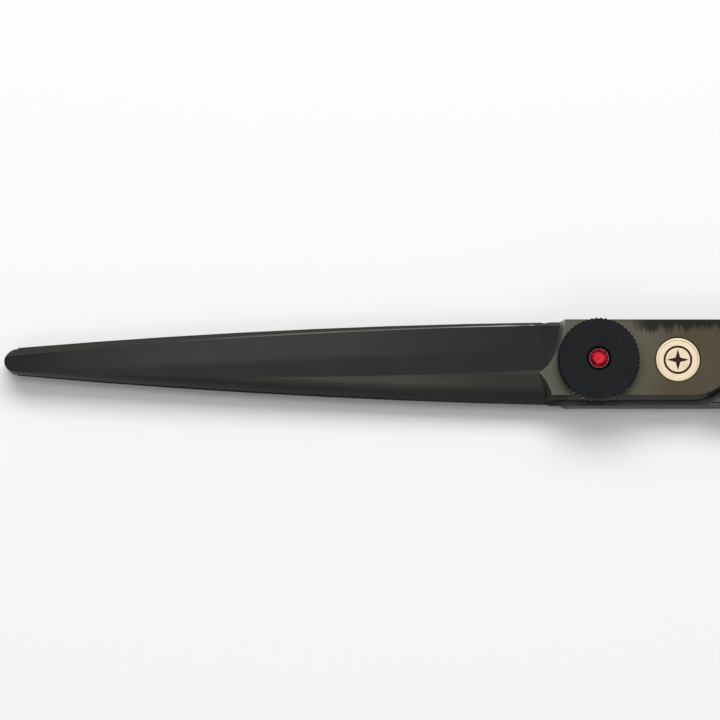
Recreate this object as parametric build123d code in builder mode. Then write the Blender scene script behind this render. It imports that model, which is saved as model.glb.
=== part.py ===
from build123d import *
from math import cos, pi, sin, sqrt
import os

# Hair cutting shears, two halves turning on an adjustable pivot.
# Frame: +Z up and along the pivot axis, origin where that axis meets the surface the shears lie on.
# Tips point to -X, handles to +X. The finger half lies below and the thumb half above it.
# Each half is drawn with its mating face on z = 0, its outer face up and its cutting edge towards +Y,
# then put in place. All sizes are millimetres.

# ---- Overall sizes ----
tip_reach = 85.0  # pivot axis to the points
plate_thick = 3.0  # flat plate around the pivot, each half
ride_gap = 0.04  # between the two mating faces
edge_side = 6.05  # pivot axis to the plate's long edge on the cutting side
spine_side = 5.3  # pivot axis to the plate's long edge on the spine side
ring_bore_r = 10.5  # finger and thumb holes
ring_wall = 3.8  # metal round each hole
finger_ring_x = 66.0
thumb_ring_x = 56.0
ring_gap = 3.6  # closest the two rings come when closed
crotch_r = 7.0  # curve between each shank's outer edge and its ring
handle_round = 1.7  # rounding of the handle's long edges
open_clear = 0.5  # plan clearance between one half's plate and the other's raised shank

top_level = 2 * plate_thick + ride_gap
mate_level = plate_thick + ride_gap
ring_r = ring_bore_r + ring_wall
ring_span = 2 * ring_r + ring_gap
ring_y = sqrt(ring_span**2 - (finger_ring_x - thumb_ring_x) ** 2) / 2

# ---- Blade sizes, (at the tip, at the heel, bow of the middle) ----
heel_x = -8.0
blade_stations = (0.0, 0.05, 0.14, 0.26, 0.4, 0.56, 0.72, 0.86, 1.0)  # sections, 0 at the tip and 1 at the heel
thumb_edge = (2.0, 5.95, 0.75)
thumb_spine = (-1.4, -5.8, -0.55)
finger_edge = (1.5, 5.9, 0.66)
finger_spine = (-2.2, -6.05, -0.72)
bevel_width = (1.0, 0.36, 0.0)  # honed bevel behind the cutting edge
bevel_rise = 0.7  # bevel height over its width
tip_thick = 1.7
ridge_sink = 0.08  # the ridge stays this far under the plate's face
facet_tip = 0.15  # width of the sloping back at the tip
facet_heel = 4.5
facet_power = 1.35
spine_wall = 0.5  # upright wall left under the sloping back
belly_share = 0.3  # how far in from the wall the back's arc passes, of the sloping width
ride_land = 0.5  # flat kept along both sides of the hollow inner face
hollow_depth = 0.12
blade_root_x = -4.5  # the blade runs in under the plate to here
root_tuck = 0.15
heel_flat = (-6.4, -3.9)  # thin flat beyond the wide face, from and to along X
heel_depth = 2.0
heel_sweep = 1.0  # the flat's outline flows out of the cutting edge from this far past the heel
heel_root = 0.3  # and starts this far inside that edge

# ---- Plate sizes ----
tongue = (-10.2, -1.7)  # the plate's foremost point, on the blade
front_low = (-7.9, -0.35)  # its front edge runs from there through these two points
front_high = (-6.1, 2.6)
front_corner_x = -5.3  # to the long edge on the cutting side
back_mid = (-8.4, -3.4)  # and curves back through here
back_corner_x = -7.65  # to the long edge on the spine side
ramp_run = 0.7
ramp_drop = 2.4
upper_edge_chamfer = 0.15  # long edge on the cutting side
lower_edge_chamfer = 0.4  # long edge on the spine side and its turn to the shank
part_start = 13.5  # where the spine-side edge turns up towards the shank
part_mid = (17.4, -4.1)
part_end = (22.6, 0.5)
part_end_way = (-1, -0.6)  # direction of the edge there
shoulder_x = 24.0
inner_line = 0.5  # closed gap between the shanks is twice this
shank_lap = 1.0  # shank and plate run into each other by this much
notch_reach = 2.5  # the raised shank starts this far past the other plate's turn
pick = 0.01  # how near an edge has to lie to be picked by its place

# ---- Pivot sizes ----
bolt_head_r = 3.75
bolt_head_thick = 1.2
bolt_chamfer = 0.15
journal_r = 2.25
thread_r = 1.95
flat_half = 1.55  # half the width across the flats cut on the thread
running = 0.03  # radial clearance of turning fits
snug = 0.01  # radial clearance of pieces fixed in their seats
axial = 0.02  # clearance between stacked faces that turn on each other
key_r = 0.5
key_inset = 0.1  # the pin's lower end stands this far inside the bolt head
key_chamfer = 0.1
glide_r = 4.5
glide_thick = 0.52
glide_proud = 0.02
bush_r = 3.0
bush_flange_r = 3.9
bush_flange_thick = 0.3
race_r = 4.6
race_thick = 0.25
ball_r = 0.5
ball_count = 10
ball_circle_r = 3.5
cage_thick = 0.4
cage_inset = 0.1  # the cage ends this far inside the races
cage_bore_clear = 0.2
disc_spring_thick = 0.15
disc_spring_high = 0.4
spring_bore_clear = 0.4
click_r = 4.4
click_thick = 0.36
click_count = 24
click_circle_r = 3.6
click_dimple = 0.12
dial_r = 5.87
dial_bottom = top_level + 0.21
dial_high = 2.75
dial_teeth = 54
tooth_depth = 0.22
dial_wall = 1.0
dial_chamfer = 0.25
detent_ball_r = 0.35
detent_count = 2
spring_wire_r = 0.06
spring_coil_r = 0.24
spring_turns = 3
cup_r = 1.8
cup_lip = 0.4
cup_floor = 0.15
cup_deep = 0.75
cup_proud = 0.04  # the rim's height over the dial's face
cup_rim = (0.02, 0.08, 0.2, 0.12)  # rim: outer bevel down and in, top's inner edge, inner bevel down
detent_bore = 1.0
thread_gap = 0.3
race_pocket = 1.1  # recess in the upper plate for the thrust bearing
open_recess = 0.15
jewel_rise = 0.12
jewel_girdle = (0.3, 0.15)  # lower and upper edge of its widest part, below the dial's face
jewel_flats = (0.5, 0.62)  # radius of its lower and upper flat, of its own radius

# ---- Trim sizes ----
coin_x = 11.43
coin_y = 0.2
coin_r = 3.12
coin_gap = 0.16
coin_thick = 0.9
coin_rim = 0.3
coin_relief = 0.1
emblem_r = 2.05
emblem_line = 0.3
star_gap = 0.2
star_points = 4
star_waist = 0.3
bumper_head_r = 1.8
bumper_stem_r = 1.1
bumper_stem = 2.4
bumper_round = 0.5
bumper_clear = 0.05
bumper_lift = 0.03  # under its head, over the sloping shank
rest_angle = -10.0  # where the finger rest leaves its ring, from +X
rest_curve_r = 26.0
rest_turn = 45.0
rest_r = 2.1
rest_end_r = 1.5
rest_stud_r = 1.25
rest_stud = 2.6
rest_stud_end = 0.2  # the stud's end stays off its hole's end
rest_stations = (0.0, 0.35, 0.7, 1.0)  # sections along it, 0 at the collar and 1 at the end
rest_collar_r = 2.5
rest_collar = 0.8
collar_sink = -0.02  # the collar's face stands just off the ring

os.makedirs("parts", exist_ok=True)


def rest_plane(distance):
    """Plane square to the finger rest's stud, this far from the finger ring's axis."""
    way = Vector(1, 0, 0).rotate(Axis.Z, rest_angle)
    return Plane(origin=Vector(finger_ring_x, -ring_y, top_level / 2) + way * distance, z_dir=way)


def save(part, label):
    part.label = label
    export_step(part, f"parts/{label}.step")


# ---- The halves ----
def bowed(ends_and_bow, u):
    """Value at u along the blade, 0 at the tip and 1 at the heel."""
    tip, heel, bow = ends_and_bow
    return tip + (heel - tip) * u + 4 * bow * u * (1 - u)


def blade_section(x, u, edge_y, spine_y):
    """One cross-section: cutting edge, bevel, wide face, ridge, rounded back, hollow inner face."""
    bevel = bowed(bevel_width, u)
    facet = facet_tip + (facet_heel - facet_tip) * u**facet_power
    thick = tip_thick + (plate_thick - ridge_sink - tip_thick) * (1 - (1 - u) ** 2)
    ridge = (spine_y + facet, thick)
    wall_top = (spine_y, spine_wall)
    belly = (spine_y + belly_share * facet, (spine_wall + thick) / 2)
    land_in = spine_y + ride_land
    land_out = edge_y - ride_land
    with BuildSketch(Plane.YZ.offset(x)) as section:
        with BuildLine():
            Polyline((edge_y, 0), (edge_y - bevel, bevel * bevel_rise), ridge)
            ThreePointArc(ridge, belly, wall_top)
            Polyline(wall_top, (spine_y, 0), (land_in, 0))
            ThreePointArc((land_in, 0), ((land_in + land_out) / 2, hollow_depth), (land_out, 0))
            Line((land_out, 0), (edge_y, 0))
        make_face()
    return section.sketch


def half_blank(edge, spine, ring_x):
    """Blade, pivot plate, shank and ring of one half as a single forging."""
    span = tip_reach + heel_x
    sections = []
    for u in blade_stations:
        x = -tip_reach + span * u
        sections.append(blade_section(x, u, bowed(edge, u), bowed(spine, u)))
    root = blade_section(blade_root_x, 1.0, edge[1], root_tuck - spine_side)
    tip_r = (bowed(edge, 0) - bowed(spine, 0)) / 2
    tip_y = (bowed(edge, 0) + bowed(spine, 0)) / 2
    shank_level = -mate_level
    crotch_rise = ring_y - edge_side - crotch_r
    crotch_reach = sqrt((ring_r + crotch_r) ** 2 - crotch_rise**2)
    crotch_start = (ring_x - crotch_reach, edge_side)
    touch = ring_r / (ring_r + crotch_r)
    crotch_end = (ring_x - crotch_reach * touch, ring_y - crotch_rise * touch)

    with BuildPart() as blade:
        loft(sections)
        loft([sections[-1], root], ruled=True)
        with BuildSketch():
            with Locations((-tip_reach, tip_y)):
                Rectangle(2 * tip_r, 4 * tip_r)
            with Locations((-tip_reach + tip_r, tip_y)):
                Circle(tip_r, mode=Mode.SUBTRACT)
        extrude(amount=plate_thick, mode=Mode.SUBTRACT)

    with BuildPart() as heel:
        with BuildSketch():
            with BuildLine():
                Polyline(
                    (heel_flat[0], edge_side),
                    (heel_flat[1], edge_side),
                    (heel_flat[1], edge_side - heel_depth),
                    (heel_x - heel_sweep, edge_side - heel_depth),
                    (heel_x - heel_sweep, edge[1] - heel_root),
                )
                Spline(
                    (heel_x - heel_sweep, edge[1] - heel_root),
                    (heel_flat[0], edge_side),
                    tangents=((1, 0), (1, 0)),
                )
            make_face()
        extrude(amount=bevel_width[1] * bevel_rise)

    with BuildPart() as plate:
        with BuildSketch():
            with BuildLine():
                Spline(tongue, front_low, front_high, (front_corner_x, edge_side))
                Line((front_corner_x, edge_side), (shoulder_x, edge_side))
                Line((shoulder_x, edge_side), (shoulder_x, part_end[1]))
                Line((shoulder_x, part_end[1]), part_end)
                Spline(
                    part_end,
                    part_mid,
                    (part_start, -spine_side),
                    tangents=(part_end_way, (-1, 0)),
                )
                Line((part_start, -spine_side), (back_corner_x, -spine_side))
                ThreePointArc((back_corner_x, -spine_side), back_mid, tongue)
            make_face()
        extrude(amount=plate_thick)
        top_face = plate.faces().sort_by(Axis.Z)[-1]
        ramp_edges = top_face.edges().filter_by(lambda e: e.center().X < front_corner_x)
        chamfer(ramp_edges, length=ramp_run, length2=ramp_drop, reference=top_face)
        rim = plate.faces().sort_by(Axis.Z)[-1].edges()
        chamfer(rim.filter_by(lambda e: e.center().Y > edge_side - pick), upper_edge_chamfer)
        rim = plate.faces().sort_by(Axis.Z)[-1].edges()
        behind_ramp = rim.filter_by(lambda e: e.center().X > back_corner_x)
        lower_rim = behind_ramp.filter_by(lambda e: e.center().Y < inner_line - pick)
        chamfer(lower_rim, lower_edge_chamfer)

    with BuildPart() as handle:
        with BuildSketch(Plane.XY.offset(shank_level)):
            with BuildLine():
                Line((shoulder_x - shank_lap, inner_line), (ring_x, ring_y - ring_r))
                Line((ring_x, ring_y - ring_r), (ring_x, ring_y))
                Line((ring_x, ring_y), crotch_end)
                TangentArc(crotch_start, crotch_end, tangent=(1, 0))
                Line(crotch_start, (shoulder_x - shank_lap, edge_side))
                Line((shoulder_x - shank_lap, edge_side), (shoulder_x - shank_lap, inner_line))
            make_face()
            with Locations((ring_x, ring_y)):
                Circle(ring_r)
            with Locations((ring_x, ring_y)):
                Circle(ring_bore_r, mode=Mode.SUBTRACT)
        extrude(amount=top_level)
        levels = handle.edges().group_by(Axis.Z)
        flat_rims = levels[0] + levels[-1]
        long_edges = flat_rims.filter_by(lambda e: e.center().X > shoulder_x - shank_lap + pick)
        fillet(long_edges, handle_round)

    with BuildPart() as shoulder:
        with BuildSketch(Plane.XY.offset(shank_level)):
            with BuildLine():
                Line((shoulder_x, inner_line), (part_end[0] + shank_lap, inner_line))
                Spline(
                    (part_end[0] + shank_lap, inner_line),
                    (part_mid[0] + shank_lap, -part_mid[1] + open_clear),
                    (part_start + notch_reach, edge_side),
                )
                Line((part_start + notch_reach, edge_side), (shoulder_x, edge_side))
                Line((shoulder_x, edge_side), (shoulder_x, inner_line))
            make_face()
        extrude(amount=top_level)
        outer_rim = shoulder.edges().filter_by(lambda e: e.center().Y > edge_side - pick)
        chamfer(outer_rim.filter_by(Axis.X), upper_edge_chamfer)

    with BuildPart() as blank:
        add(blade.part)
        add(heel.part)
        add(plate.part)
        add(shoulder.part)
        add(handle.part)
    return blank.part


thumb_blank = Pos(0, 0, mate_level) * half_blank(thumb_edge, thumb_spine, thumb_ring_x)
finger_drawn = half_blank(finger_edge, finger_spine, finger_ring_x)
finger_blank = Pos(0, 0, plate_thick) * Rot(180, 0, 0) * finger_drawn

# Heights of the stack on the pivot, from the lower plate up.
key_x = bolt_head_r
bush_top = top_level - race_pocket + bush_flange_thick
lower_race_top = bush_top + race_thick
ball_level = lower_race_top + snug + ball_r
upper_race_bottom = ball_level + ball_r + snug
upper_race_top = upper_race_bottom + race_thick
spring_bottom = upper_race_top + snug
spring_top = spring_bottom + disc_spring_high
click_bottom = spring_top + axial
click_top = click_bottom + click_thick
journal_top = upper_race_top + snug
dial_top = dial_bottom + dial_high
dial_pocket_top = click_top + axial
detent_level = click_top + snug + detent_ball_r
cup_bottom = dial_top - cup_deep
thread_top = cup_bottom - thread_gap
shank_slope = (ring_y - ring_r - inner_line) / (finger_ring_x - shoulder_x)
bumper_seat = -inner_line - (thumb_ring_x - shoulder_x) * shank_slope

with BuildPart() as thumb_half:
    add(thumb_blank)
    with BuildSketch(Plane.XY.offset(mate_level)):
        Circle(bush_r + snug)
    extrude(amount=plate_thick, mode=Mode.SUBTRACT)
    with BuildSketch(Plane.XY.offset(top_level)):
        Circle(race_r + open_recess)
    extrude(amount=-race_pocket, mode=Mode.SUBTRACT)
    with BuildSketch(Plane.XY.offset(top_level)):
        with Locations((coin_x, coin_y)):
            Circle(coin_r + coin_gap)
    extrude(amount=-coin_thick, mode=Mode.SUBTRACT)
save(thumb_half.part, "thumb_half")

with BuildPart() as finger_half:
    add(finger_blank)
    with BuildSketch():
        Circle(journal_r + snug)
    extrude(amount=plate_thick, mode=Mode.SUBTRACT)
    with BuildSketch():
        Circle(bolt_head_r + snug)
        with Locations((key_x, 0)):
            Circle(key_r + snug)
    extrude(amount=bolt_head_thick + snug, mode=Mode.SUBTRACT)
    with BuildSketch(Plane.XY.offset(plate_thick)):
        Circle(glide_r + snug)
    extrude(amount=glide_proud - glide_thick, mode=Mode.SUBTRACT)
    with BuildSketch(Plane(origin=(thumb_ring_x, bumper_seat, top_level / 2), z_dir=(0, -1, 0))):
        Circle(bumper_stem_r + snug)
    extrude(amount=bumper_stem, mode=Mode.SUBTRACT)
    with BuildSketch(rest_plane(ring_r)):
        Circle(rest_stud_r + snug)
    extrude(amount=-rest_stud, mode=Mode.SUBTRACT)
save(finger_half.part, "finger_half")


# ---- Pivot ----
with BuildPart() as pivot_bolt:
    Cylinder(bolt_head_r, bolt_head_thick, align=(Align.CENTER, Align.CENTER, Align.MIN))
    chamfer(pivot_bolt.edges().sort_by(Axis.Z)[0], bolt_chamfer)
    with BuildSketch(Plane.XY.offset(bolt_head_thick)):
        Circle(journal_r)
    extrude(amount=journal_top - bolt_head_thick)
    with BuildSketch(Plane.XY.offset(journal_top)):
        Circle(thread_r)
        Rectangle(2 * flat_half, 2 * thread_r, mode=Mode.INTERSECT)
    extrude(amount=thread_top - journal_top)
    with BuildSketch():
        with Locations((key_x, 0)):
            Circle(key_r + snug)
    extrude(amount=bolt_head_thick, mode=Mode.SUBTRACT)
save(pivot_bolt.part, "pivot_bolt")

with BuildPart() as bolt_key_pin:
    with Locations((key_x, 0, key_inset)):
        Cylinder(key_r, bolt_head_thick - key_inset, align=(Align.CENTER, Align.CENTER, Align.MIN))
    chamfer(bolt_key_pin.edges().filter_by(GeomType.CIRCLE), key_chamfer)
save(bolt_key_pin.part, "bolt_key_pin")


def ring_piece(outer, inner, bottom, thick):
    with BuildPart() as ring:
        with BuildSketch(Plane.XY.offset(bottom)):
            Circle(outer)
            Circle(inner, mode=Mode.SUBTRACT)
        extrude(amount=thick)
    return ring.part


glide_bottom = plate_thick - glide_thick + glide_proud
save(ring_piece(glide_r, journal_r + running, glide_bottom, glide_thick), "glide_washer")

with BuildPart() as pivot_bush:
    with BuildSketch(Plane.XY.offset(mate_level + axial)):
        Circle(bush_r)
    extrude(amount=top_level - race_pocket - mate_level - axial)
    with BuildSketch(Plane.XY.offset(top_level - race_pocket)):
        Circle(bush_flange_r)
    extrude(amount=bush_flange_thick)
    with BuildSketch():
        Circle(journal_r + running)
    extrude(amount=top_level, mode=Mode.SUBTRACT)
save(pivot_bush.part, "pivot_bush")

save(ring_piece(race_r, journal_r + running, bush_top, race_thick), "lower_race")
save(ring_piece(race_r, journal_r + running, upper_race_bottom, race_thick), "upper_race")

with BuildPart() as bearing_balls:
    with Locations((0, 0, ball_level)):
        with PolarLocations(ball_circle_r, ball_count):
            Sphere(ball_r)
save(bearing_balls.part, "bearing_balls")

with BuildPart() as bearing_cage:
    with BuildSketch(Plane.XY.offset(ball_level - cage_thick / 2)):
        Circle(race_r - cage_inset)
        Circle(journal_r + cage_bore_clear, mode=Mode.SUBTRACT)
        with PolarLocations(ball_circle_r, ball_count):
            Circle(ball_r + running, mode=Mode.SUBTRACT)
    extrude(amount=cage_thick)
save(bearing_cage.part, "bearing_cage")

with BuildPart() as disc_spring:
    with BuildSketch(Plane.XZ):
        with BuildLine():
            Polyline(
                (click_r, spring_bottom),
                (click_r, spring_bottom + disc_spring_thick),
                (journal_r + spring_bore_clear, spring_top),
                (journal_r + spring_bore_clear, spring_top - disc_spring_thick),
                close=True,
            )
        make_face()
    revolve(axis=Axis.Z)
save(disc_spring.part, "disc_spring")

with BuildPart() as click_plate:
    with BuildSketch(Plane.XY.offset(click_bottom)):
        Circle(click_r)
        with BuildSketch(mode=Mode.SUBTRACT):
            Circle(thread_r + running)
            Rectangle(2 * (flat_half + running), 3 * thread_r, mode=Mode.INTERSECT)
    extrude(amount=click_thick)
    with Locations((0, 0, click_top + detent_ball_r - click_dimple)):
        with PolarLocations(click_circle_r, click_count):
            Sphere(detent_ball_r, mode=Mode.SUBTRACT)
save(click_plate.part, "click_plate")


def dial_point(step):
    radius = dial_r - tooth_depth * (step % 2)
    angle = pi * step / dial_teeth
    return (radius * cos(angle), radius * sin(angle))


with BuildPart() as dial:
    with BuildSketch(Plane.XZ):
        with BuildLine():
            Polyline(
                (0, dial_bottom),
                (dial_r - dial_chamfer, dial_bottom),
                (dial_r, dial_bottom + dial_chamfer),
                (dial_r, dial_top - dial_chamfer),
                (dial_r - dial_chamfer, dial_top),
                (0, dial_top),
                close=True,
            )
        make_face()
    revolve(axis=Axis.Z)
    with BuildSketch(Plane.XY.offset(dial_bottom)):
        with BuildLine():
            Polyline(*[dial_point(step) for step in range(2 * dial_teeth)], close=True)
        make_face()
    extrude(amount=dial_high, mode=Mode.INTERSECT)
    with BuildSketch(Plane.XY.offset(dial_bottom)):
        Circle(dial_r - dial_wall)
    extrude(amount=dial_pocket_top - dial_bottom, mode=Mode.SUBTRACT)
    with BuildSketch(Plane.XY.offset(dial_bottom)):
        Circle(thread_r + running)
    extrude(amount=cup_bottom - dial_bottom, mode=Mode.SUBTRACT)
    with BuildSketch(Plane.XY.offset(cup_bottom)):
        Circle(cup_r + snug)
    extrude(amount=cup_deep, mode=Mode.SUBTRACT)
    with BuildSketch(Plane.XY.offset(dial_pocket_top)):
        with PolarLocations(click_circle_r, detent_count):
            Circle(detent_ball_r + running)
    extrude(amount=detent_bore, mode=Mode.SUBTRACT)
save(dial.part, "dial")

with BuildPart() as detent_balls:
    with Locations((0, 0, detent_level)):
        with PolarLocations(click_circle_r, detent_count):
            Sphere(detent_ball_r)
save(detent_balls.part, "detent_balls")

spring_room = dial_pocket_top + detent_bore - detent_level - detent_ball_r
with BuildPart() as one_spring:
    with BuildLine():
        coil = Helix(
            pitch=(spring_room - 2 * spring_wire_r - 2 * snug) / spring_turns,
            height=spring_room - 2 * spring_wire_r - 2 * snug,
            radius=spring_coil_r,
            center=(0, 0, detent_level + detent_ball_r + spring_wire_r + snug),
        )
    with BuildSketch(Plane(origin=coil @ 0, z_dir=coil % 0)):
        Circle(spring_wire_r)
    sweep(is_frenet=True)
with BuildPart() as detent_springs:
    with PolarLocations(click_circle_r, detent_count):
        add(one_spring.part)
save(detent_springs.part, "detent_springs")

with BuildPart() as jewel_cup:
    with BuildSketch(Plane.XZ):
        with BuildLine():
            Polyline(
                (0, cup_bottom),
                (cup_r, cup_bottom),
                (cup_r, dial_top - cup_rim[0]),
                (cup_r - cup_rim[1], dial_top + cup_proud),
                (cup_r - cup_rim[2], dial_top + cup_proud),
                (cup_r - cup_lip, dial_top - cup_rim[3]),
                (cup_r - cup_lip, cup_bottom + cup_floor),
                (0, cup_bottom + cup_floor),
                close=True,
            )
        make_face()
    revolve(axis=Axis.Z)
save(jewel_cup.part, "jewel_cup")

jewel_r = cup_r - cup_lip - snug
with BuildPart() as jewel:
    with BuildSketch(Plane.XZ):
        with BuildLine():
            Polyline(
                (0, cup_bottom + cup_floor),
                (jewel_r * jewel_flats[0], cup_bottom + cup_floor),
                (jewel_r, dial_top - jewel_girdle[0]),
                (jewel_r, dial_top - jewel_girdle[1]),
                (jewel_r * jewel_flats[1], dial_top + jewel_rise),
                (0, dial_top + jewel_rise),
                close=True,
            )
        make_face()
    revolve(axis=Axis.Z)
save(jewel.part, "jewel")

# ---- Medallion ----
with BuildPart() as medallion:
    with BuildSketch(Plane.XY.offset(top_level - coin_thick)):
        with Locations((coin_x, coin_y)):
            Circle(coin_r)
    extrude(amount=coin_thick)
    with BuildSketch(Plane.XY.offset(top_level)):
        with Locations((coin_x, coin_y)):
            Circle(coin_r - coin_rim)
    extrude(amount=-coin_relief, mode=Mode.SUBTRACT)
save(medallion.part, "medallion")


def star_point(step):
    radius = emblem_r - emblem_line - star_gap
    radius *= 1 if step % 2 == 0 else star_waist
    angle = pi / 2 + pi * step / star_points
    return (radius * cos(angle), radius * sin(angle))


with BuildPart() as medallion_emblem:
    with BuildSketch(Plane(origin=(coin_x, coin_y, top_level - coin_relief))):
        Circle(emblem_r)
        Circle(emblem_r - emblem_line, mode=Mode.SUBTRACT)
        with BuildLine():
            Polyline(*[star_point(step) for step in range(2 * star_points)], close=True)
        make_face()
    extrude(amount=coin_relief / 2)
save(medallion_emblem.part, "medallion_emblem")

# ---- Handle fittings ----
bumper_top = ring_y - ring_r - bumper_clear
bumper_foot = (thumb_ring_x, bumper_seat + bumper_lift, top_level / 2)
with BuildPart() as bumper:
    with BuildSketch(Plane(origin=bumper_foot, z_dir=(0, 1, 0))):
        Circle(bumper_head_r)
    extrude(amount=bumper_top - bumper_seat - bumper_lift)
    fillet(bumper.faces().sort_by(Axis.Y)[-1].edges(), bumper_round)
    with BuildSketch(Plane(origin=bumper_foot, z_dir=(0, -1, 0))):
        Circle(bumper_stem_r)
    extrude(amount=bumper_stem - bumper_lift)
save(bumper.part, "bumper")

# The finger rest screws into the finger ring, curves away from the shears and thins to a round end.
collar_plane = rest_plane(ring_r - collar_sink)
stem_plane = rest_plane(ring_r - collar_sink + rest_collar)
with BuildLine(Plane.XY.offset(top_level / 2)) as rest_line:
    JernArc(
        start=(stem_plane.origin.X, stem_plane.origin.Y),
        tangent=(stem_plane.z_dir.X, stem_plane.z_dir.Y),
        radius=rest_curve_r,
        arc_size=-rest_turn,
    )
rest_path = rest_line.line
rest_sections = []
for share in rest_stations:
    with BuildSketch(Plane(origin=rest_path @ share, z_dir=rest_path % share)) as rest_section:
        Circle(rest_r + (rest_end_r - rest_r) * share)
    rest_sections.append(rest_section.sketch)
with BuildPart() as finger_rest:
    with BuildSketch(collar_plane):
        Circle(rest_stud_r)
    extrude(amount=rest_stud_end - rest_stud)
    with BuildSketch(collar_plane):
        Circle(rest_collar_r)
    extrude(amount=rest_collar)
    loft(rest_sections)
    with Locations(rest_path @ 1):
        Sphere(rest_end_r)
save(finger_rest.part, "finger_rest")
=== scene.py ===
from math import cos, pi, radians, sin

import bmesh
import bpy
from mathutils import Matrix, Vector


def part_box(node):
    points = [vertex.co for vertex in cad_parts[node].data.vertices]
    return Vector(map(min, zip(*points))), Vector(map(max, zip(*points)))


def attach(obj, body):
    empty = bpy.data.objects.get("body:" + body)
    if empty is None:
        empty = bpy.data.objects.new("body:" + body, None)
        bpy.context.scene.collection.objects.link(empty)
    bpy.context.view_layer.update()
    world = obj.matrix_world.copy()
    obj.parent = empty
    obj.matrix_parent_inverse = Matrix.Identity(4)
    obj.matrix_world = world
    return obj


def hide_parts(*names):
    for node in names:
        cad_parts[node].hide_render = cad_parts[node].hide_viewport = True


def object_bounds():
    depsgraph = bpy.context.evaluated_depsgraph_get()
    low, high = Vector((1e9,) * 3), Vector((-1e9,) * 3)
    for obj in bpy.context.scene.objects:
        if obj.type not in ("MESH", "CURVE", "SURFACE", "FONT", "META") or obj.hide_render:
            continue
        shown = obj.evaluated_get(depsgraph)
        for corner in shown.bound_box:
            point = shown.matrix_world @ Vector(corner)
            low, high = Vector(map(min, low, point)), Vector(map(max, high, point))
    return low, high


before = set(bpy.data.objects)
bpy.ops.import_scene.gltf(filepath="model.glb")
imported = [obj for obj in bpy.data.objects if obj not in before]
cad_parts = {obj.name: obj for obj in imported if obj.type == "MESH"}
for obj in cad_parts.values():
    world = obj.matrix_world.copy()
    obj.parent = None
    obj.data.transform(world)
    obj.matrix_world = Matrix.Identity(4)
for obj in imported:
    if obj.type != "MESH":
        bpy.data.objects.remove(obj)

cad_box = [list(corner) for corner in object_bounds()]


# ---- Studio ----
# A plain pale table top, and a long lens looking almost straight down on the blades.
# A broad softbox behind the shears throws a short soft shadow towards the front.
floor_top = cad_box[0][2] - 0.0002
floor_mesh = bpy.data.meshes.new("table_top")
floor_bm = bmesh.new()
bmesh.ops.create_grid(floor_bm, x_segments=1, y_segments=1, size=1.6)
bmesh.ops.translate(floor_bm, verts=floor_bm.verts, vec=(0, 0, floor_top))
floor_bm.to_mesh(floor_mesh)
floor_bm.free()
floor = bpy.data.objects.new("table_top", floor_mesh)
bpy.context.collection.objects.link(floor)

floor_paint = bpy.data.materials.new("table_paint")
floor_paint.use_nodes = True
floor_shader = floor_paint.node_tree.nodes["Principled BSDF"]
floor_shader.inputs["Base Color"].default_value = (0.86, 0.86, 0.86, 1)
floor_shader.inputs["Roughness"].default_value = 0.7
floor_shader.inputs["Specular IOR Level"].default_value = 0.2
floor_mesh.materials.append(floor_paint)

view_rise = radians(81.3)
view_far = 0.6
view_wide = 0.1034  # what the camera takes in at the target
view_target = Vector((-0.03400, 0.00061, 0.003))
view_way = Vector((0, -cos(view_rise), sin(view_rise)))
camera_data = bpy.data.cameras.new("camera")
camera_data.sensor_width = 36
camera_data.lens = camera_data.sensor_width * view_far / view_wide
camera_data.clip_start = 0.01
camera = bpy.data.objects.new("camera", camera_data)
camera.location = view_target + view_way * view_far
camera.rotation_euler = (pi / 2 - view_rise, 0, 0)
bpy.context.collection.objects.link(camera)
bpy.context.scene.camera = camera


def softbox(name, place, aim, size, power):
    lamp_data = bpy.data.lights.new(name, "AREA")
    lamp_data.shape = "RECTANGLE"
    lamp_data.size = size[0]
    lamp_data.size_y = size[1]
    lamp_data.energy = power
    lamp = bpy.data.objects.new(name, lamp_data)
    lamp.location = place
    lamp.rotation_euler = (Vector(aim) - Vector(place)).to_track_quat("-Z", "Y").to_euler()
    bpy.context.collection.objects.link(lamp)


softbox("back_box", (-0.02, 0.55, 0.75), (-0.02, 0, 0), (0.9, 0.45), 6.8)
softbox("overhead_box", (-0.05, 0.08, 0.95), (-0.03, 0, 0), (0.7, 0.35), 1.8)
softbox("front_box", (0.0, -0.55, 0.75), (-0.02, 0, 0), (1.0, 0.12), 0.55)
world = bpy.data.worlds.new("studio")
world.use_nodes = True
world.node_tree.nodes["Background"].inputs["Color"].default_value = (1, 1, 1, 1)
world.node_tree.nodes["Background"].inputs["Strength"].default_value = 0.34
bpy.context.scene.world = world
bpy.context.scene.view_settings.view_transform = "Standard"


# ---- The two halves ----
# Each half is one steel forging: blade, pivot plate, shank and finger ring. Every facet is ground
# on its own wheel, then the whole piece takes a thin olive-black coating. Light and shade are painted
# into the coating's colour: each facet's tone, the chamfers, a bright line on the honed bevel and dark
# crevices.
tip_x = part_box("thumb_half")[0][0]
heel_x = -0.008
bevel_tip = 0.0010  # width of the honed bevel at the tip, and how much narrower it is at the heel
bevel_taper = 0.00064
blade_ends = (-0.0046, -0.0040)  # the painted facet light and shade fades out under the plate between these
plate_tone = (0.064, 0.062, 0.047)
rear_tone = (0.048, 0.0395, 0.0245)
stain_tone = (0.012, 0.012, 0.011)
stain_ends = (0.0040, 0.0215)  # where the stain starts, coming from each side
stain_fades = (0.0035, -0.0050)  # and how much further in it is full
mating_face_shade_tone = (0.020, 0.023, 0.023)
shank_mating_shade_tone = (0.045, 0.050, 0.050)
chamfer_shade_tone = (0.034, 0.036, 0.034)
chamfer_end = 0.0225
chamfer_light_tone = (0.070, 0.062, 0.050)
heel_shade_tone = (0.034, 0.036, 0.032)
step_highlight_tone = (0.26, 0.26, 0.23)
back_step_shade_tone = (0.046, 0.047, 0.042)
bevel_highlight_tone = (0.19, 0.19, 0.17)
heel_bevel_highlight_tone = (0.60, 0.60, 0.56)
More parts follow.
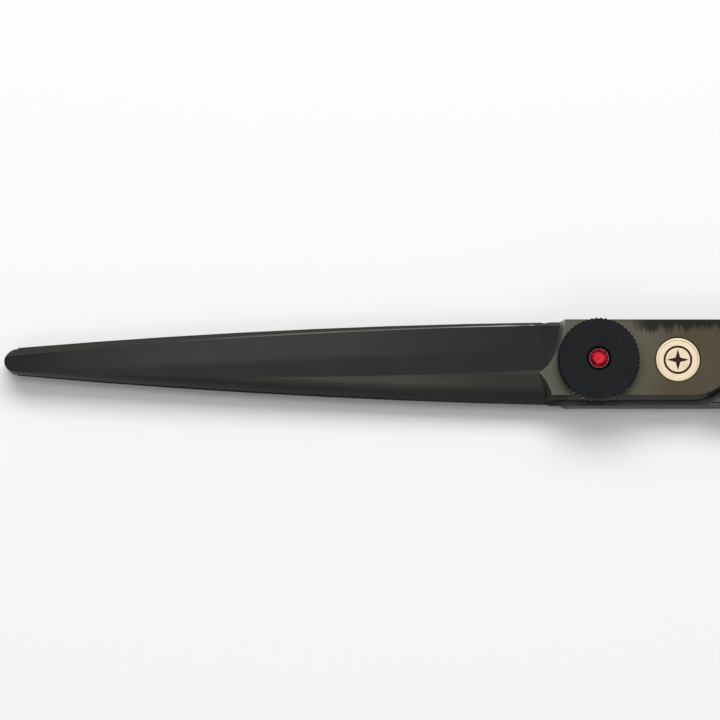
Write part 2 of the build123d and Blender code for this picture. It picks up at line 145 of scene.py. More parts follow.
facet_shading_tones = (  # the coating's tone, painted lighter or darker by how far a facet leans towards the cutting edge, -1 to 1
    (-0.95, (0.015, 0.015, 0.018)),
    (-0.75, (0.034, 0.034, 0.036)),
    (-0.45, (0.095, 0.096, 0.082)),
    (-0.18, (0.054, 0.054, 0.044)),
    (-0.06, plate_tone),
    (0.06, plate_tone),
    (0.24, (0.0084, 0.0094, 0.0091)),
    (0.47, (0.0084, 0.0094, 0.0091)),
    (0.53, (0.052, 0.052, 0.046)),
    (0.70, (0.052, 0.052, 0.046)),
    (0.85, (0.022, 0.023, 0.021)),
)


def join(tree, source, out, target, into):
    tree.links.new(source.outputs[out], target.inputs[into])


def math_step(tree, operation, first, second=None, third=None, clamp=False):
    """One Math node; each term is a number or a (node, output) pair. Returns a (node, output) pair."""
    step = tree.nodes.new("ShaderNodeMath")
    step.operation = operation
    step.use_clamp = clamp
    for place, term in enumerate((first, second, third)):
        if term is None:
            continue
        if isinstance(term, tuple):
            tree.links.new(term[0].outputs[term[1]], step.inputs[place])
        else:
            step.inputs[place].default_value = term
    return (step, "Value")


def between(tree, term, low, high):
    """0 below low, 1 above high, smooth between."""
    step = tree.nodes.new("ShaderNodeMapRange")
    step.interpolation_type = "SMOOTHSTEP"
    step.inputs["From Min"].default_value = low
    step.inputs["From Max"].default_value = high
    tree.links.new(term[0].outputs[term[1]], step.inputs["Value"])
    return (step, "Result")


def mix_colours(tree, amount, first, second):
    """Mixes two colours; each is a colour or a (node, output) pair."""
    mix = tree.nodes.new("ShaderNodeMix")
    mix.data_type = "RGBA"
    colour_sockets = [socket for socket in mix.inputs if socket.type == "RGBA"]
    if isinstance(amount, tuple):
        tree.links.new(amount[0].outputs[amount[1]], mix.inputs["Factor"])
    else:
        mix.inputs["Factor"].default_value = amount
    for socket, term in zip(colour_sockets, (first, second)):
        if isinstance(term[0], bpy.types.Node):
            tree.links.new(term[0].outputs[term[1]], socket)
        else:
            socket.default_value = (*term[:3], 1)
    out = [index for index, socket in enumerate(mix.outputs) if socket.type == "RGBA"][0]
    return (mix, out)


def new_group(name, inputs, outputs):
    """An empty shader group with its sockets; inputs and outputs are (name, kind, default) rows."""
    tree = bpy.data.node_groups.new(name, "ShaderNodeTree")
    for label, kind, default in inputs:
        socket = tree.interface.new_socket(label, in_out="INPUT", socket_type=kind)
        socket.default_value = default
    for label, kind in outputs:
        tree.interface.new_socket(label, in_out="OUTPUT", socket_type=kind)
    return tree, tree.nodes.new("NodeGroupInput"), tree.nodes.new("NodeGroupOutput")


steel, steel_in, steel_out = new_group(
    "ground_coated_painted_light",
    (("Side", "NodeSocketFloat", 1.0), ("Mating Level", "NodeSocketFloat", 0.00304),
     ("Edge Tip", "NodeSocketFloat", 0.0020), ("Edge Heel", "NodeSocketFloat", 0.00595),
     ("Edge Bow", "NodeSocketFloat", 0.00075)),
    (("Colour", "NodeSocketColor"), ("Roughness", "NodeSocketFloat"), ("Height", "NodeSocketFloat")),
)
place = steel.nodes.new("ShaderNodeTexCoord")
spot = steel.nodes.new("ShaderNodeSeparateXYZ")
lean = steel.nodes.new("ShaderNodeSeparateXYZ")
join(steel, place, "Object", spot, "Vector")
join(steel, place, "Normal", lean, "Vector")
side = (steel_in, "Side")
lean_y = math_step(steel, "MULTIPLY", (lean, "Y"), side)
lean_z = math_step(steel, "MULTIPLY", (lean, "Z"), side)
place_y = math_step(steel, "MULTIPLY", (spot, "Y"), side)
above = math_step(steel, "SUBTRACT", (spot, "Z"), (steel_in, "Mating Level"))
above = math_step(steel, "MULTIPLY", above, side)

# Painted light and shade: each ground facet of the blade takes a tone by which way it faces.
ramp_place = math_step(steel, "MULTIPLY_ADD", lean_y, 0.5, 0.5)
ramp = steel.nodes.new("ShaderNodeValToRGB")
ramp.color_ramp.elements.remove(ramp.color_ramp.elements[1])
ramp.color_ramp.elements[0].position = (facet_shading_tones[0][0] + 1) / 2
ramp.color_ramp.elements[0].color = (*facet_shading_tones[0][1], 1)
for lean_at, tone in facet_shading_tones[1:]:
    stop = ramp.color_ramp.elements.new((lean_at + 1) / 2)
    stop.color = (*tone, 1)
steel.links.new(ramp_place[0].outputs[0], ramp.inputs["Fac"])

# The plate and handle drift from olive at the pivot to bronze behind it, in soft clouds.
clouds = steel.nodes.new("ShaderNodeTexNoise")
clouds.inputs["Scale"].default_value = 170
clouds.inputs["Detail"].default_value = 3
join(steel, place, "Object", clouds, "Vector")
rear = between(steel, (spot, "X"), -0.004, 0.016)
drift = math_step(steel, "MULTIPLY_ADD", (clouds, "Fac"), 1.4, -0.7)
rear = math_step(steel, "ADD", rear, drift, clamp=True)
flat_tone = mix_colours(steel, rear, plate_tone, rear_tone)

# Dark smudged streaks run down from the plate's long edge behind the dial.
stretch = steel.nodes.new("ShaderNodeMapping")
stretch.inputs["Scale"].default_value = (1900, 260, 260)
join(steel, place, "Object", stretch, "Vector")
streaks = steel.nodes.new("ShaderNodeTexNoise")
streaks.inputs["Scale"].default_value = 1.0
streaks.inputs["Detail"].default_value = 4
join(steel, stretch, "Vector", streaks, "Vector")
depth = math_step(steel, "MULTIPLY_ADD", (streaks, "Fac"), 0.0034, -0.0017)
reach = math_step(steel, "ADD", place_y, depth)
streak = between(steel, reach, 0.0040, 0.0054)
for stain_end, stain_fade in zip(stain_ends, stain_fades):
    fade = between(steel, (spot, "X"), stain_end, stain_end + stain_fade)
    streak = math_step(steel, "MULTIPLY", streak, fade)
streak = math_step(steel, "MULTIPLY", streak, between(steel, lean_z, 0.85, 0.95))
streak = math_step(steel, "MULTIPLY", streak, 0.9)
flat_tone = mix_colours(steel, streak, flat_tone, stain_tone)

# Painted shade and light: the chamfer on the plate's cutting side is painted dark, and the one on its spine
# side paler, by which way each faces.
long_edge = between(steel, (spot, "X"), chamfer_end + 0.002, chamfer_end)
long_edge = math_step(steel, "MULTIPLY", between(steel, lean_y, 0.4, 0.6), long_edge)
long_edge = math_step(steel, "MULTIPLY", long_edge, between(steel, lean_y, 0.97, 0.85))
flat_tone = mix_colours(steel, long_edge, flat_tone, chamfer_shade_tone)
flat_tone = mix_colours(steel, between(steel, lean_y, -0.35, -0.55), flat_tone, chamfer_light_tone)
on_blade = between(steel, (spot, "X"), blade_ends[1], blade_ends[0])

# Painted highlight: a bright line is painted on the bevel where it meets the wide face. It is brightest at
# the heel and dies out towards the tip. The lower facets are painted darker close to the heel, as shade.
along = math_step(steel, "SUBTRACT", (spot, "X"), tip_x)
along = math_step(steel, "DIVIDE", along, heel_x - tip_x, clamp=True)
rest = math_step(steel, "SUBTRACT", 1.0, along)
bow = math_step(steel, "MULTIPLY", math_step(steel, "MULTIPLY", along, rest), (steel_in, "Edge Bow"))
taper = math_step(steel, "SUBTRACT", (steel_in, "Edge Heel"), (steel_in, "Edge Tip"))
edge = math_step(steel, "MULTIPLY_ADD", taper, along, (steel_in, "Edge Tip"))
edge = math_step(steel, "MULTIPLY_ADD", bow, 4.0, edge)
bevel = math_step(steel, "MULTIPLY_ADD", along, -bevel_taper, bevel_tip)
into_bevel = math_step(steel, "DIVIDE", math_step(steel, "SUBTRACT", edge, place_y), bevel)
bevel_highlight = between(steel, into_bevel, 0.55, 0.85)
bevel_highlight = math_step(steel, "MULTIPLY", bevel_highlight, between(steel, lean_y, 0.49, 0.54))
bevel_highlight = math_step(steel, "MULTIPLY", bevel_highlight, between(steel, along, 0.25, 0.60))
bevel_highlight = math_step(steel, "MULTIPLY", bevel_highlight, on_blade)
# Painted shade: the lower facets are painted darker close to the heel.
heel_facet_shade = between(steel, along, 0.72, 0.95)
heel_facet_shade = math_step(steel, "MULTIPLY", heel_facet_shade, between(steel, lean_y, -0.1, -0.3))
heel_facet_shade = math_step(steel, "MULTIPLY", heel_facet_shade, 0.65)
blade_tone = mix_colours(steel, heel_facet_shade, (ramp, "Color"), heel_shade_tone)
tone = mix_colours(steel, on_blade, flat_tone, blade_tone)
# Painted highlight colour of the honed bevel, paler towards the heel.
bevel_highlight_colour = mix_colours(steel, between(steel, along, 0.78, 0.96), bevel_highlight_tone, heel_bevel_highlight_tone)
tone = mix_colours(steel, bevel_highlight, tone, bevel_highlight_colour)

# The step down from the plate gets a painted highlight beside the wide face only, and painted shade behind.
# The thin flat at the heel and the mating face are painted dark as shade, and the mating face's painted shade
# fades to the handle's bronze behind the plate.
step_face = math_step(steel, "MULTIPLY", on_blade, between(steel, (lean, "X"), -0.35, -0.6))
step_painted_tone = mix_colours(steel, between(steel, place_y, -0.0006, 0.0002), back_step_shade_tone, step_highlight_tone)
tone = mix_colours(steel, step_face, tone, step_painted_tone)
heel_flat_shade = math_step(steel, "MULTIPLY", on_blade, between(steel, lean_z, 0.93, 0.98))
heel_flat_shade = math_step(steel, "MULTIPLY", heel_flat_shade, between(steel, above, 0.0020, 0.0015))
tone = mix_colours(steel, heel_flat_shade, tone, heel_shade_tone)
# Painted shade in the crevice where the two halves meet.
inner = between(steel, lean_z, -0.85, -0.95)
inner = math_step(steel, "MULTIPLY", inner, between(steel, above, 0.0008, 0.0004))
inner = math_step(steel, "MULTIPLY", inner, between(steel, (spot, "X"), 0.032, 0.022))
mating_face_shade_colour = mix_colours(steel, between(steel, (spot, "X"), -0.0060, -0.0045), mating_face_shade_tone, shank_mating_shade_tone)
tone = mix_colours(steel, inner, tone, mating_face_shade_colour)

# Fine grain of the grinding, and a speckle that only just shows.
grain_way = steel.nodes.new("ShaderNodeMapping")
grain_way.inputs["Scale"].default_value = (900, 9000, 9000)
join(steel, place, "Object", grain_way, "Vector")
grain = steel.nodes.new("ShaderNodeTexNoise")
grain.inputs["Scale"].default_value = 1.0
grain.inputs["Detail"].default_value = 5
join(steel, grain_way, "Vector", grain, "Vector")
speckle = steel.nodes.new("ShaderNodeTexNoise")
speckle.inputs["Scale"].default_value = 4200
speckle.inputs["Detail"].default_value = 3
join(steel, place, "Object", speckle, "Vector")
shade = math_step(steel, "MULTIPLY_ADD", (speckle, "Fac"), 0.5, 0.75)
shade = math_step(steel, "MULTIPLY", shade, math_step(steel, "MULTIPLY_ADD", (grain, "Fac"), 0.4, 0.8))
shaded = steel.nodes.new("ShaderNodeVectorMath")
shaded.operation = "SCALE"
steel.links.new(tone[0].outputs[tone[1]], shaded.inputs[0])
steel.links.new(shade[0].outputs[0], shaded.inputs["Scale"])
steel.links.new(shaded.outputs[0], steel_out.inputs["Colour"])

rough = math_step(steel, "MULTIPLY_ADD", (grain, "Fac"), 0.16, 0.30)
rough = math_step(steel, "MULTIPLY_ADD", (clouds, "Fac"), 0.10, rough)
rough = math_step(steel, "MULTIPLY_ADD", streak, 0.2, rough)
steel.links.new(rough[0].outputs[0], steel_out.inputs["Roughness"])
height = math_step(steel, "MULTIPLY_ADD", (speckle, "Fac"), 0.5, (grain, "Fac"))
steel.links.new(height[0].outputs[0], steel_out.inputs["Height"])


def coated_steel(name, side_sign, mating_level, edge_line, metallic=0.9):
    material = bpy.data.materials.new(name)
    material.use_nodes = True
    tree = material.node_tree
    shader = tree.nodes["Principled BSDF"]
    shader.inputs["Metallic"].default_value = metallic
    finish = tree.nodes.new("ShaderNodeGroup")
    finish.node_tree = steel
    finish.inputs["Side"].default_value = side_sign
    finish.inputs["Mating Level"].default_value = mating_level
    for socket, value in zip(("Edge Tip", "Edge Heel", "Edge Bow"), edge_line):
        finish.inputs[socket].default_value = value
    bump = tree.nodes.new("ShaderNodeBump")
    bump.inputs["Strength"].default_value = 0.25
    bump.inputs["Distance"].default_value = 0.00001
    join(tree, finish, "Colour", shader, "Base Color")
    join(tree, finish, "Roughness", shader, "Roughness")
    join(tree, finish, "Height", bump, "Height")
    join(tree, bump, "Normal", shader, "Normal")
    return material


def dress(name, material):
    """Gives a CAD piece its finish."""
    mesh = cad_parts[name].data
    mesh.materials.clear()
    mesh.materials.append(material)


upper_steel = coated_steel("coated_steel_upper", 1.0, 0.00304, (0.0020, 0.00595, 0.00075))
lower_steel = coated_steel("coated_steel_lower", -1.0, 0.0030, (0.0015, 0.00590, 0.00066))
dress("thumb_half", upper_steel)
dress("finger_half", lower_steel)


# ---- Pivot bolt and key pin ----
# The bolt is turned from bar and blackened; its wide head sits flush under the lower plate and a
# ground pin keys it there. Turning leaves fine rings on every face square to the axis.
finish_sockets = (
    ("Tone", "NodeSocketColor", (0.5, 0.5, 0.5, 1)),
    ("Patch Tone", "NodeSocketColor", (0.4, 0.4, 0.4, 1)),
    ("Patches", "NodeSocketFloat", 0.4),  # share of the surface that the second tone takes
    ("Patch Scale", "NodeSocketFloat", 900.0),
    ("Grain Scale", "NodeSocketVector", (6000, 6000, 6000)),
    ("Rings", "NodeSocketFloat", 0.0),  # 0 for cast, moulded or ground grain, 1 for turning rings
    ("Roughness", "NodeSocketFloat", 0.4),
    ("Roughness Spread", "NodeSocketFloat", 0.15),
)


def from_axis(tree):
    """Object coordinates, the same split in three, and the distance from the pivot's axis."""
    place = tree.nodes.new("ShaderNodeTexCoord")
    spot = tree.nodes.new("ShaderNodeSeparateXYZ")
    join(tree, place, "Object", spot, "Vector")
    across = math_step(tree, "MULTIPLY", (spot, "Y"), (spot, "Y"))
    square = math_step(tree, "MULTIPLY_ADD", (spot, "X"), (spot, "X"), across)
    return place, spot, math_step(tree, "SQRT", square)


worked, worked_in, worked_out = new_group(
    "worked_surface", finish_sockets,
    (("Colour", "NodeSocketColor"), ("Roughness", "NodeSocketFloat"), ("Height", "NodeSocketFloat")),
)
place, spot, radius = from_axis(worked)
patches = worked.nodes.new("ShaderNodeTexNoise")
patches.inputs["Detail"].default_value = 4
join(worked, place, "Object", patches, "Vector")
join(worked, worked_in, "Patch Scale", patches, "Scale")
patch = math_step(worked, "ADD", (patches, "Fac"), (worked_in, "Patches"))
patch = between(worked, patch, 0.8, 1.05)
tone = mix_colours(worked, patch, (worked_in, "Tone"), (worked_in, "Patch Tone"))
grain_way = worked.nodes.new("ShaderNodeMapping")
join(worked, place, "Object", grain_way, "Vector")
join(worked, worked_in, "Grain Scale", grain_way, "Scale")
grain = worked.nodes.new("ShaderNodeTexNoise")
grain.inputs["Scale"].default_value = 1.0
grain.inputs["Detail"].default_value = 3
join(worked, grain_way, "Vector", grain, "Vector")
turned = worked.nodes.new("ShaderNodeTexNoise")
turned.noise_dimensions = "1D"
turned.inputs["Scale"].default_value = 22000
turned.inputs["Detail"].default_value = 2
worked.links.new(radius[0].outputs[0], turned.inputs["W"])
both = worked.nodes.new("ShaderNodeMix")
join(worked, worked_in, "Rings", both, "Factor")
join(worked, grain, "Fac", both, "A")
join(worked, turned, "Fac", both, "B")
marks = (both, "Result")
shade = math_step(worked, "MULTIPLY_ADD", marks, 0.3, 0.85)
shaded = worked.nodes.new("ShaderNodeVectorMath")
shaded.operation = "SCALE"
worked.links.new(tone[0].outputs[tone[1]], shaded.inputs[0])
worked.links.new(shade[0].outputs[0], shaded.inputs["Scale"])
worked.links.new(shaded.outputs[0], worked_out.inputs["Colour"])
spread = math_step(worked, "SUBTRACT", marks, 0.5)
spread = math_step(worked, "MULTIPLY", spread, (worked_in, "Roughness Spread"))
rough = math_step(worked, "ADD", spread, (worked_in, "Roughness"), clamp=True)
worked.links.new(rough[0].outputs[0], worked_out.inputs["Roughness"])
worked.links.new(both.outputs["Result"], worked_out.inputs["Height"])


def finished(name, tone, patch_tone, roughness, metallic, rings=0.0, grain=(6000, 6000, 6000),
             patches=0.4, patch_scale=900, spread=0.15, relief=0.000004, coat=0.0, specular=0.5):
    """A material of one worked surface: its two tones, its grain or turning rings, and its gloss."""
    material = bpy.data.materials.new(name)
    material.use_nodes = True
    tree = material.node_tree
    shader = tree.nodes["Principled BSDF"]
    shader.inputs["Metallic"].default_value = metallic
    shader.inputs["Coat Weight"].default_value = coat
    shader.inputs["Specular IOR Level"].default_value = specular
    surface = tree.nodes.new("ShaderNodeGroup")
    surface.name = "surface"
    surface.node_tree = worked
    surface.inputs["Tone"].default_value = (*tone, 1)
    surface.inputs["Patch Tone"].default_value = (*patch_tone, 1)
    surface.inputs["Patches"].default_value = patches
    surface.inputs["Patch Scale"].default_value = patch_scale
    surface.inputs["Grain Scale"].default_value = grain
    surface.inputs["Rings"].default_value = rings
    surface.inputs["Roughness"].default_value = roughness
    surface.inputs["Roughness Spread"].default_value = spread
    bump = tree.nodes.new("ShaderNodeBump")
    bump.inputs["Strength"].default_value = 0.3
    bump.inputs["Distance"].default_value = relief
    join(tree, surface, "Colour", shader, "Base Color")
    join(tree, surface, "Roughness", shader, "Roughness")
    join(tree, surface, "Height", bump, "Height")
    join(tree, bump, "Normal", shader, "Normal")
    return material


dress("pivot_bolt", finished("blackened_bolt", (0.09, 0.09, 0.088), (0.055, 0.05, 0.045), 0.33, 1.0,
                             rings=0.9))
dress("bolt_key_pin", finished("ground_pin", (0.45, 0.45, 0.46), (0.34, 0.33, 0.32), 0.3, 1.0,
                               grain=(3000, 3000, 20000)))


# ---- Washer and bush ----
# The halves ride on a white low-friction washer let into the lower plate, and the upper half turns
# on a black acetal bush. Both are moulded: a faint even texture and no grain.
dress("glide_washer", finished("glide_plastic", (0.76, 0.75, 0.71), (0.62, 0.61, 0.57), 0.5, 0.0,
                               patches=0.25))
dress("pivot_bush", finished("bush_plastic", (0.022, 0.022, 0.023), (0.032, 0.032, 0.031), 0.45, 0.0))


# ---- Thrust bearing ----
# Two hardened washers are polished where the balls run, and ten balls sit in a stamped brass cage. The
# set lies in a recess in the upper plate, on the bush's flange.
race_steel = finished("race_steel", (0.60, 0.60, 0.61), (0.50, 0.50, 0.50), 0.16, 1.0, rings=1.0, spread=0.08)
ball_steel = finished("ball_steel", (0.72, 0.72, 0.73), (0.66, 0.66, 0.67), 0.07, 1.0, spread=0.03,
                      relief=0.0000005)
dress("lower_race", race_steel)
dress("upper_race", race_steel)
dress("bearing_balls", ball_steel)
dress("bearing_cage", finished("cage_brass", (0.62, 0.42, 0.16), (0.48, 0.29, 0.10), 0.3, 1.0,
                               grain=(2000, 16000, 9000)))


# ---- Spring and click plate ----
# A blued disc spring loads the stack. The stamped click plate above it carries a ring of dimples,
# and two small balls on coil springs in the dial drop into them.
dress("disc_spring", finished("blued_spring", (0.10, 0.12, 0.20), (0.16, 0.12, 0.14), 0.28, 1.0, rings=0.6))
dress("click_plate", finished("click_steel", (0.46, 0.45, 0.44), (0.35, 0.33, 0.30), 0.34, 1.0, rings=0.4,
                              grain=(1500, 14000, 9000)))
dress("detent_balls", ball_steel)
dress("detent_springs", finished("spring_wire", (0.55, 0.55, 0.56), (0.42, 0.42, 0.42), 0.25, 1.0))


# ---- Dial ----
# A turned and knurled aluminium knob, bead-blasted and anodised flat black. The anodising has worn
# off the points of the teeth round the lower rim, where bare metal shows.
dial_low, dial_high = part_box("dial")
dial_r = dial_high[0]
worn_high = 0.0011  # how far up the teeth the bare metal reaches
black_dial = finished("black_anodised", (0.0066, 0.0080, 0.0102), (0.0048, 0.0058, 0.0075), 0.62, 0.0,
                      patches=0.42, patch_scale=500, grain=(7000, 7000, 7000), spread=0.1, relief=0.000008,
                      specular=0.12)
tree = black_dial.node_tree
place, spot, radius = from_axis(tree)
rub = tree.nodes.new("ShaderNodeTexNoise")
rub.inputs["Scale"].default_value = 700
join(tree, place, "Object", rub, "Vector")
worn = math_step(tree, "MULTIPLY_ADD", (rub, "Fac"), 0.00016, radius)
worn = between(tree, worn, dial_r + 0.00001, dial_r + 0.00009)
low_rim = between(tree, (spot, "Z"), dial_low[2] + worn_high, dial_low[2] + worn_high - 0.0005)
worn = math_step(tree, "MULTIPLY", worn, low_rim)
worn = math_step(tree, "MULTIPLY", worn, between(tree, (rub, "Fac"), 0.42, 0.58))
surface = tree.nodes["surface"]
shader = tree.nodes["Principled BSDF"]
bared = mix_colours(tree, worn, (surface, "Colour"), (0.55, 0.56, 0.57))
tree.links.new(bared[0].outputs[bared[1]], shader.inputs["Base Color"])
tree.links.new(worn[0].outputs[0], shader.inputs["Metallic"])
dress("dial", black_dial)


# ---- Jewel and its cup ----
# A brilliant-cut red glass stone, foiled behind, is pressed into a
# gloss black cup in the dial's face. Its glow from the middle is painted light, fed to the emission.
dress("jewel_cup", finished("gloss_black_cup", (0.0018, 0.0020, 0.0020), (0.0026, 0.0026, 0.0026), 0.22, 0.0,
                            rings=0.7, specular=0.03))
jewel_low, jewel_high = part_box("jewel")
jewel_r = jewel_high[0]
jewel_facets = 16
jewel_table = 0.60  # of the radius
jewel_culet = 0.45
girdle_drop = 0.00034  # from the table down to the girdle, and the girdle's own height
girdle_thick = 0.00008
girdle_high = jewel_high[2] - girdle_drop
girdle_low = girdle_high - girdle_thick


def new_piece(name, bm, material, body, replaced, smooth_below=None):
    """Makes the bmesh a piece of the model: its finish, the body it rides on and what it stands for."""
    mesh = bpy.data.meshes.new(name)
    bmesh.ops.recalc_face_normals(bm, faces=bm.faces)
    bm.to_mesh(mesh)
    bm.free()
    if smooth_below is not None:
        mesh.shade_smooth()
        mesh.set_sharp_from_angle(angle=smooth_below)
    mesh.materials.append(material)
    piece = bpy.data.objects.new(name, mesh)
    bpy.context.collection.objects.link(piece)
    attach(piece, body)
    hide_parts(replaced)


bm = bmesh.new()
bmesh.ops.create_circle(bm, cap_ends=True, segments=jewel_facets, radius=jewel_r * jewel_culet)
bmesh.ops.translate(bm, verts=bm.verts, vec=(0, 0, jewel_low[2]))
top = bm.faces[:]
jewel_steps = ((girdle_low, 1.0, 0.5), (girdle_high, 1.0, 0.0), (jewel_high[2], jewel_table, 0.5))
for level, size, turn in jewel_steps:
    made = bmesh.ops.extrude_face_region(bm, geom=top)
    covered = [f for f in top if f.is_valid and f.calc_center_median().z > jewel_low[2] + 1e-6]
    bmesh.ops.delete(bm, geom=covered, context="FACES")
    corners = [v for v in made["geom"] if isinstance(v, bmesh.types.BMVert)]
    top = [f for f in made["geom"] if isinstance(f, bmesh.types.BMFace)]
    reach = max(v.co.xy.length for v in corners)
    bmesh.ops.scale(bm, verts=corners, vec=(jewel_r * size / reach, jewel_r * size / reach, 1))
    turned_by = Matrix.Rotation(2 * pi * turn / jewel_facets, 3, "Z")
    bmesh.ops.rotate(bm, verts=corners, cent=(0, 0, 0), matrix=turned_by)
    bmesh.ops.translate(bm, verts=corners, vec=(0, 0, level - corners[0].co.z))
sides = [f for f in bm.faces if len(f.verts) == 4]
bmesh.ops.triangulate(bm, faces=sides)
red_glass = finished("red_glass_painted_glow", (0.66, 0.006, 0.030), (0.42, 0.002, 0.016), 0.15, 0.0,
                     patch_scale=2600, patches=0.35, spread=0.04, relief=0.000001, coat=0.05, specular=0.08)
tree = red_glass.node_tree
place, spot, radius = from_axis(tree)
# Painted light and shade on the stone: bright in the middle and darker towards the edge, broken up by painted
# glints.
painted_edge_shade = between(tree, radius, jewel_r * 0.25, jewel_r * 0.92)
painted_glints = tree.nodes.new("ShaderNodeTexVoronoi")
painted_glints.inputs["Scale"].default_value = 2100
join(tree, place, "Object", painted_glints, "Vector")
sparks = tree.nodes.new("ShaderNodeSeparateXYZ")
join(tree, painted_glints, "Color", sparks, "Vector")
glint_shift = math_step(tree, "MULTIPLY_ADD", (sparks, "X"), 0.8, -0.4)
painted_edge_shade = math_step(tree, "ADD", painted_edge_shade, glint_shift, clamp=True)
surface = tree.nodes["surface"]
shader = tree.nodes["Principled BSDF"]
painted_glow = mix_colours(tree, painted_edge_shade, (surface, "Colour"), (0.11, 0.0005, 0.006))
# A pale pink rim is painted round the stone's edge.
painted_glow = mix_colours(tree, between(tree, radius, jewel_r * 0.93, jewel_r * 0.98), painted_glow, (0.42, 0.27, 0.29))
tree.links.new(painted_glow[0].outputs[painted_glow[1]], shader.inputs["Base Color"])
# The painted colour is also the emission, so the stone glows with its own painted light.
tree.links.new(painted_glow[0].outputs[painted_glow[1]], shader.inputs["Emission Color"])
shader.inputs["Emission Strength"].default_value = 0.10
new_piece("jewel_stone", bm, red_glass, "dial_side", "jewel")


# ---- Medallion ----
# A pale gold-plated disc pressed into a recess in the plate, with a low rim, a satin field and a plain
# star and ring laid in with dark brown enamel.
coin_low, coin_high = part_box("medallion")
coin_x = (coin_low[0] + coin_high[0]) / 2
coin_y = (coin_low[1] + coin_high[1]) / 2
coin_r = (coin_high[0] - coin_low[0]) / 2
coin_rim = 0.00026
rim_slope = 0.00006
coin_sunk = 0.0001
coin_round = 0.00005


def disc(bm, radius, low, high, segments):
    """A capped round plate standing at the origin; returns its top face."""
    bmesh.ops.create_circle(bm, cap_ends=True, segments=segments, radius=radius)
    bmesh.ops.translate(bm, verts=bm.verts, vec=(0, 0, low))
    made = bmesh.ops.extrude_face_region(bm, geom=bm.faces[:])
    raised = [v for v in made["geom"] if isinstance(v, bmesh.types.BMVert)]
    bmesh.ops.translate(bm, verts=raised, vec=(0, 0, high - low))
    return [f for f in made["geom"] if isinstance(f, bmesh.types.BMFace)][0]


bm = bmesh.new()
field = disc(bm, coin_r, coin_low[2], coin_high[2], 144)
bmesh.ops.inset_individual(bm, faces=[field], thickness=coin_rim)
rim_edges = [e for e in bm.edges if min(v.co.z for v in e.verts) > coin_high[2] - 1e-6
             and min(v.co.xy.length for v in e.verts) > coin_r - 1e-6]
bmesh.ops.inset_individual(bm, faces=[field], thickness=rim_slope)
bmesh.ops.translate(bm, verts=field.verts, vec=(0, 0, -coin_sunk))
bmesh.ops.bevel(bm, geom=rim_edges, offset=coin_round, offset_type="OFFSET", segments=3, profile=0.5,
                affect="EDGES", material=-1)
bmesh.ops.translate(bm, verts=bm.verts, vec=(coin_x, coin_y, 0))
pale_gold = finished("pale_gold_plate", (0.63, 0.525, 0.365), (0.54, 0.425, 0.275), 0.42, 0.35, patches=0.30,
                     patch_scale=650, grain=(2500, 12000, 9000), spread=0.12)
new_piece("medallion_disc", bm, pale_gold, "thumb_side", "medallion", radians(30))

emblem_low, emblem_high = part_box("medallion_emblem")
emblem_r = (emblem_high[0] - emblem_low[0]) / 2
emblem_line = 0.0003
star_gap = 0.0002
star_points = 4
star_waist = 0.3
bm = bmesh.new()
face = disc(bm, emblem_r, emblem_low[2], emblem_high[2], 128)
bmesh.ops.inset_individual(bm, faces=[face], thickness=emblem_line)
middle = [f for f in bm.faces if len(f.verts) > 4 and f.calc_center_median().xy.length < 1e-7]
bottom = [f for f in middle if f.calc_center_median().z < emblem_high[2] - 1e-6]
bmesh.ops.inset_individual(bm, faces=bottom, thickness=emblem_line)
inner = [f for f in bm.faces if len(f.verts) > 4 and f.calc_center_median().xy.length < 1e-7]
walls = [e for f in inner for e in f.edges]
bmesh.ops.bridge_loops(bm, edges=walls)
bmesh.ops.delete(bm, geom=inner, context="FACES_ONLY")
star = bmesh.new()
points = bmesh.ops.create_circle(star, cap_ends=True, segments=2 * star_points,
                                 radius=emblem_r - emblem_line - star_gap)["verts"]
waists = [v for v in points if abs(v.co.x) > 1e-6 and abs(v.co.y) > 1e-6]
bmesh.ops.scale(star, verts=waists, vec=(star_waist, star_waist, 1))
bmesh.ops.translate(star, verts=star.verts, vec=(0, 0, emblem_low[2]))
made = bmesh.ops.extrude_face_region(star, geom=star.faces[:])
bmesh.ops.translate(star, verts=[v for v in made["geom"] if isinstance(v, bmesh.types.BMVert)],
                    vec=(0, 0, emblem_high[2] - emblem_low[2]))
star_mesh = bpy.data.meshes.new("star")
star.to_mesh(star_mesh)
star.free()
bm.from_mesh(star_mesh)
bmesh.ops.translate(bm, verts=bm.verts, vec=(coin_x, coin_y, 0))
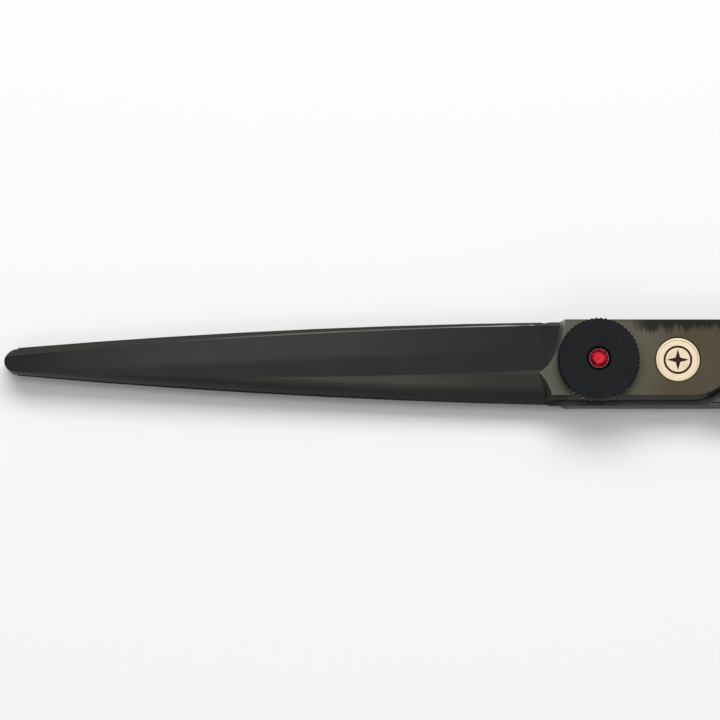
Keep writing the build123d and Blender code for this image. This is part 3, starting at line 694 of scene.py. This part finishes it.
enamel = finished("brown_enamel", (0.028, 0.0090, 0.0100), (0.018, 0.0060, 0.0065), 0.25, 0.0, spread=0.05,
                  specular=0.08)
new_piece("medallion_star", bm, enamel, "thumb_side", "medallion_emblem", radians(30))


# ---- Bumper ----
# A moulded rubber stop pressed into the finger half's shank: a domed head with a soft lip, and a
# plain stem in its hole. It takes the blow when the shears close.
bumper_low, bumper_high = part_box("bumper")
bumper_r = (bumper_high[0] - bumper_low[0]) / 2
stem_r = 0.0011
stem_long = 0.0024
head_foot = bumper_low[1] + stem_long - 0.00003
bm = bmesh.new()
profile = (
    (0, bumper_low[1]), (stem_r - 0.0001, bumper_low[1]), (stem_r, bumper_low[1] + 0.0001),
    (stem_r, head_foot), (bumper_r - 0.0001, head_foot), (bumper_r, head_foot + 0.0001),
    (bumper_r, head_foot + 0.0004), (bumper_r - 0.00006, head_foot + 0.0006),
    (bumper_r - 0.00014, bumper_high[1] - 0.0006), (bumper_r - 0.0003, bumper_high[1] - 0.0003),
    (bumper_r - 0.0006, bumper_high[1] - 0.0001), (bumper_r - 0.0010, bumper_high[1] - 0.00002),
    (0, bumper_high[1]),
)
corners = [bm.verts.new((out, up, 0)) for out, up in profile]
outline = [bm.edges.new(pair) for pair in zip(corners, corners[1:])]
bmesh.ops.spin(bm, geom=corners + outline, cent=(0, 0, 0), axis=(0, 1, 0), dvec=(0, 0, 0), angle=2 * pi,
               steps=64, use_merge=True, use_duplicate=False)
bmesh.ops.remove_doubles(bm, verts=bm.verts, dist=1e-7)
bmesh.ops.translate(bm, verts=bm.verts, vec=((bumper_low[0] + bumper_high[0]) / 2, 0,
                                             (bumper_low[2] + bumper_high[2]) / 2))
rubber = finished("black_rubber", (0.020, 0.020, 0.020), (0.032, 0.031, 0.030), 0.7, 0.0, spread=0.2,
                  grain=(5000, 5000, 5000), relief=0.00001)
new_piece("bumper_stop", bm, rubber, "finger_side", "bumper", radians(40))


# ---- Finger rest ----
# A turned and bent steel hook with the same dark coating as the halves. Its stud screws into the
# finger ring.
dress("finger_rest", upper_steel)
